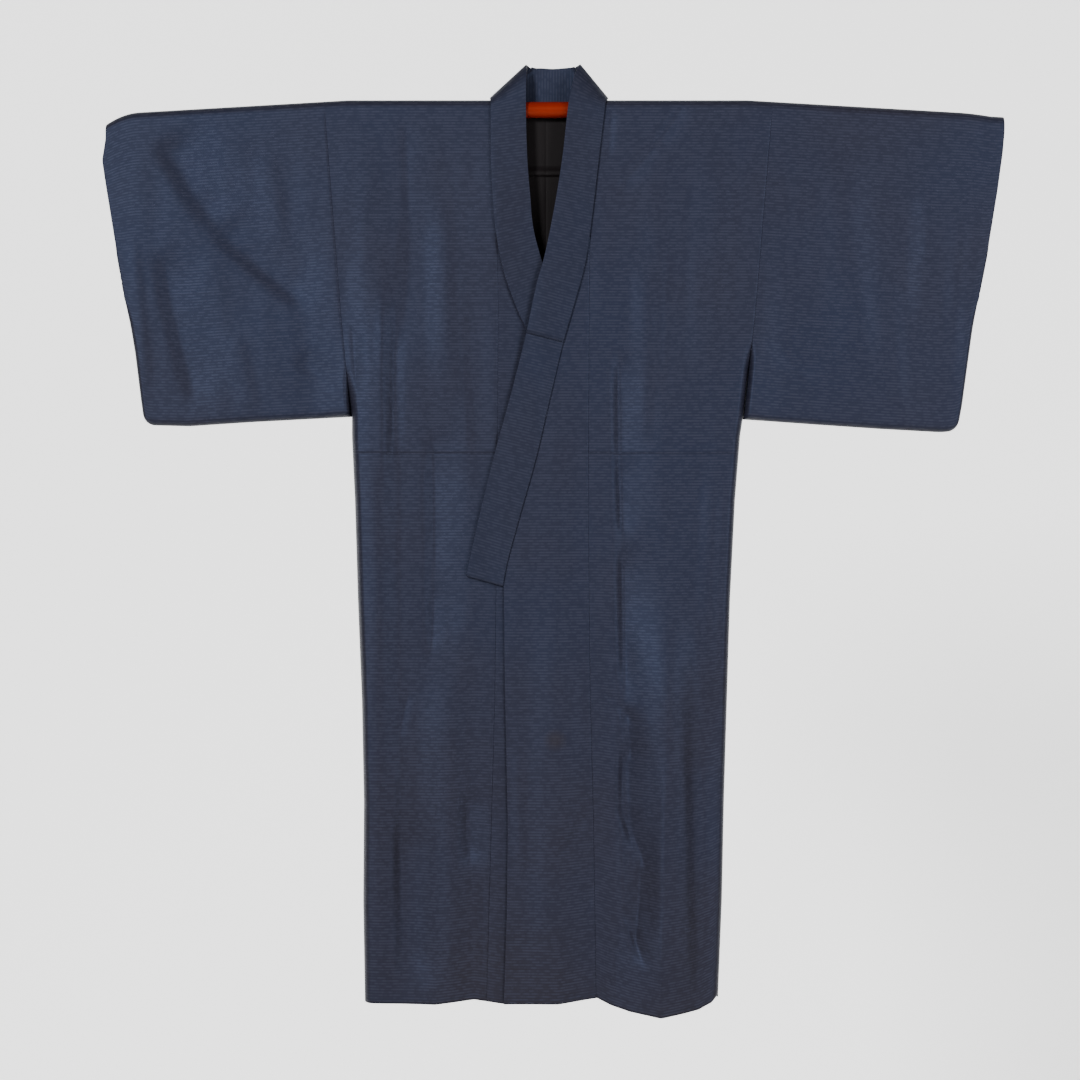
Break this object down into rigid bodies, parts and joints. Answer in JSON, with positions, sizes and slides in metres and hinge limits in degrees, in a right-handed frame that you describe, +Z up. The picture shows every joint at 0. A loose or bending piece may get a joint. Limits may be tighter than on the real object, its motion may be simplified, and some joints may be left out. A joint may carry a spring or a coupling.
{
  "type": "kimono hung on a kimono rod",
  "caption": "Long straight-cut robe with wide square sleeves and a lapped front, hung by its shoulders and sleeves on a round rod.",
  "frame": {"origin": "middle of the rod's axis, where the rod is held", "axes": "+Z up along the garment's length, +X to the wearer's left, -Y the front"},
  "size_m": [1.3473, 0.0749, 1.4242],
  "materials": {
    "silk": "navy woven silk with a fine broken dash pattern and a soft sheen",
    "collar_silk": "the same silk with its ribs across the strip",
    "lining": "plain black silk lining",
    "rod_lacquer": "satin vermilion lacquer"
  },
  "bodies": {
    "root": {"rod_middle": "rod_lacquer", "rod_arm_right": "rod_lacquer", "rod_arm_left": "rod_lacquer", "body_right_front": "silk", "body_right_back": "silk", "body_left_front": "silk", "body_left_back": "silk", "sleeve_right": "silk", "sleeve_left": "silk", "okumi_right": "silk", "okumi_left": "silk", "collar_left_end": "collar_silk", "collar_left_front": "collar_silk", "collar_left_turn": "collar_silk", "collar_back": "collar_silk", "collar_right_turn": "collar_silk", "collar_right_front": "collar_silk", "collar_right_end": "collar_silk", "collar_cover_left_front": "collar_silk", "collar_cover_left_turn": "collar_silk", "collar_cover_back": "collar_silk", "collar_cover_right_turn": "collar_silk", "collar_cover_right_front": "collar_silk", "back_lining": "lining"}
  },
  "joints": []
}
